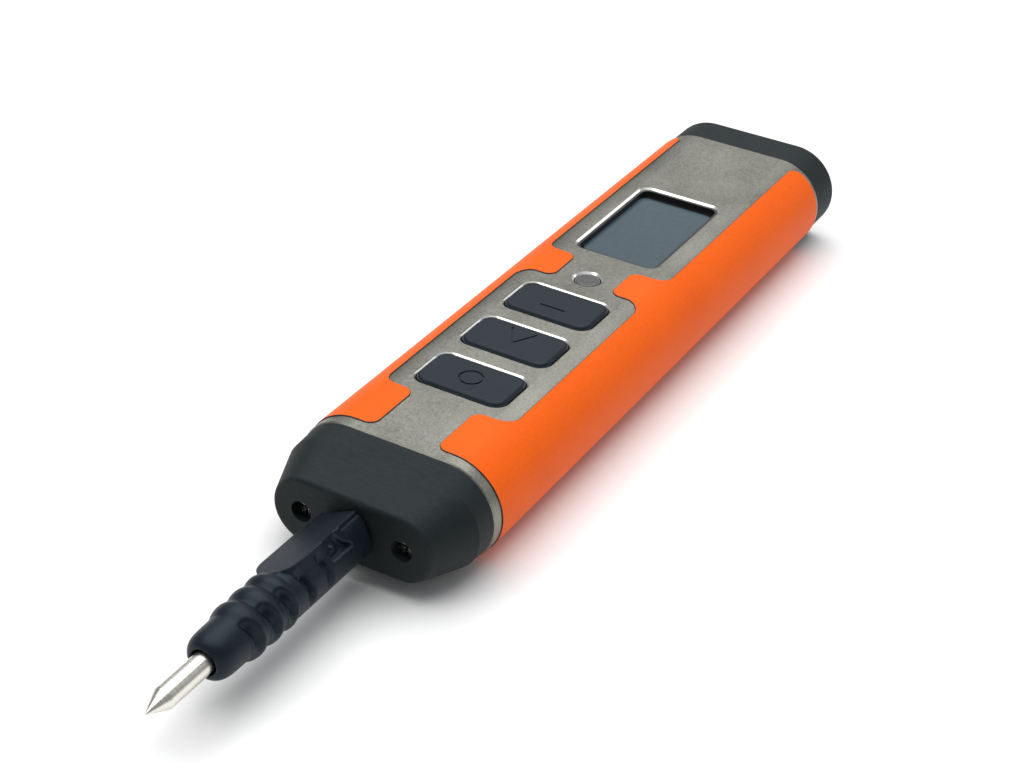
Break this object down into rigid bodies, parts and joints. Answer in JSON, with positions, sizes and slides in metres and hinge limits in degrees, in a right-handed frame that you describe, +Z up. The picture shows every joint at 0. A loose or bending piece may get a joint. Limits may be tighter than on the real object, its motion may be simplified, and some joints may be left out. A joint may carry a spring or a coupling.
{
  "type": "moisture meter",
  "caption": "Pen-type moisture meter in a flat-oval metal tube with push keys, an indicator, a display and a plug-in pin probe that turns and pulls out of its socket.",
  "frame": {"origin": "on the surface the meter lies on, under the middle of the tube's length and width", "axes": "+Y from the probe's tip to the rear cap, +Z up through the keys and display, +X to the right seen from the probe's end with the keys up"},
  "size_m": [0.0404, 0.2174, 0.0206],
  "materials": {
    "tube_metal": "bead-blasted, satin, warm grey",
    "orange_coat": "satin orange coat",
    "cap_plastic": "matt black, fine grain",
    "seal_rubber": "plain black",
    "screw_steel": "bright zinc",
    "brass_parts": "turned",
    "chassis_plastic": "moulded dark grey",
    "board_laminate": "green solder mask",
    "chip_plastic": "moulded black",
    "cell_jacket": "plain shrink jacket",
    "spring_metal": "nickel-plated sheet",
    "lcd_glass": "blue-grey display, switched off",
    "cover_glass": "blue-grey tinted cover over the display, with a black printed border",
    "liner_black": "matt black",
    "holder_white": "white, smooth",
    "lens_grey": "grey translucent lens",
    "switch_metal": "thin pressed sheet",
    "key_slate": "dark slate, satin",
    "plated_brass": "nickel plated",
    "pin_metal": "polished nickel",
    "boot_plastic": "blue-black, satin"
  },
  "bodies": {
    "meter_body": {"housing_tube": "tube_metal", "colour_sleeve": "orange_coat", "front_cap": "cap_plastic", "rear_cap": "cap_plastic", "front_cap_seal": "seal_rubber", "rear_cap_seal": "seal_rubber", "front_cap_screws": "screw_steel", "rear_cap_screws": "screw_steel", "board_screws": "screw_steel", "front_inserts": "brass_parts", "rear_inserts": "brass_parts", "chassis": "chassis_plastic", "main_board": "board_laminate", "board_chips": "chip_plastic", "buzzer": "chip_plastic", "battery_cells": "cell_jacket", "front_contacts": "spring_metal", "rear_contact": "spring_metal", "socket_lug": "spring_metal", "lcd_panel": "lcd_glass", "lcd_window": "cover_glass", "lcd_liner": "liner_black", "lcd_holder": "holder_white", "lcd_backlight": "holder_white", "lcd_connectors": "seal_rubber", "led_lens": "lens_grey", "status_led": "holder_white", "key_guide": "liner_black", "key_switches": "switch_metal", "probe_socket": "plated_brass", "socket_nut": "plated_brass"},
    "front_key_body": {"front_key": "key_slate", "front_plunger": "liner_black"},
    "middle_key_body": {"middle_key": "key_slate", "middle_plunger": "liner_black"},
    "rear_key_body": {"rear_key": "key_slate", "rear_plunger": "liner_black"},
    "cage_body": {"plug_cage": "spring_metal"},
    "probe_body": {"probe_boot": "boot_plastic", "probe_pin": "pin_metal", "probe_plug": "plated_brass", "probe_joiner": "brass_parts"}
  },
  "joints": [
    {"name": "front_key_press", "type": "slide", "parent": "meter_body", "child": "front_key_body", "axis": [0, 0, -1], "range_m": [0, 0.0005], "stiffness_N_per_m": 2000, "springref_m": -0.0005},
    {"name": "middle_key_press", "type": "slide", "parent": "meter_body", "child": "middle_key_body", "axis": [0, 0, -1], "range_m": [0, 0.0005], "stiffness_N_per_m": 2000, "springref_m": -0.0005},
    {"name": "rear_key_press", "type": "slide", "parent": "meter_body", "child": "rear_key_body", "axis": [0, 0, -1], "range_m": [0, 0.0005], "stiffness_N_per_m": 2000, "springref_m": -0.0005},
    {"name": "probe_pull", "type": "slide", "parent": "meter_body", "child": "cage_body", "axis": [0, -1, 0], "range_m": [0, 0.03]},
    {"name": "probe_swivel", "type": "hinge", "parent": "cage_body", "child": "probe_body", "pos_m": [0, -0.0848, 0.0102], "axis": [0, -1, 0], "continuous": true}
  ]
}
